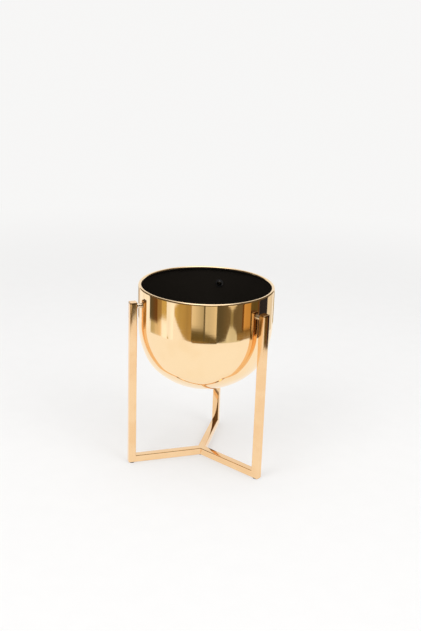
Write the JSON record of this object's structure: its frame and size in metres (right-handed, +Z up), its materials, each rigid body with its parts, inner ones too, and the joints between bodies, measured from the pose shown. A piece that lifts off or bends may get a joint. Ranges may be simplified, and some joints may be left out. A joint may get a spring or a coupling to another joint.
{
  "type": "planter with stand",
  "caption": "Round-bottomed spun metal pot held between the legs of a square-tube stand with a Y-shaped base, for a potted plant.",
  "frame": {"origin": "on the floor under the pot's axis, at the underside of the base's middle pad", "axes": "+Z up along the pot's axis, +Y towards the back leg, the front legs at 210 and 330 degrees about +Z"},
  "size_m": [0.1902, 0.1998, 0.2545],
  "materials": {
    "pot_metal": "mirror-polished pale gold outside, black lacquer inside",
    "stand_metal": "pale gold plating on steel tube, polished",
    "cap_metal": "pale gold plating, polished",
    "spacer_metal": "bright nickel plating, polished",
    "wire": "plain drawn wire",
    "insert_metal": "bright zinc plating",
    "screw_metal": "black oxide",
    "washer_rubber": "matt black rubber",
    "pad_rubber": "matt black rubber"
  },
  "bodies": {
    "root": {"pot_shell": "pot_metal", "rim_wire": "wire", "leg_left": "stand_metal", "leg_right": "stand_metal", "leg_back": "stand_metal", "leg_cap_left": "cap_metal", "leg_cap_right": "cap_metal", "leg_cap_back": "cap_metal", "base_bar_left": "stand_metal", "base_bar_right": "stand_metal", "base_bar_back": "stand_metal", "foot_pad_left": "pad_rubber", "foot_pad_right": "pad_rubber", "foot_pad_back": "pad_rubber", "foot_pad_centre": "pad_rubber", "spacer_left": "spacer_metal", "spacer_right": "spacer_metal", "spacer_back": "spacer_metal", "threaded_inserts": "insert_metal", "pot_screws": "screw_metal", "screw_washers": "washer_rubber"}
  },
  "joints": []
}
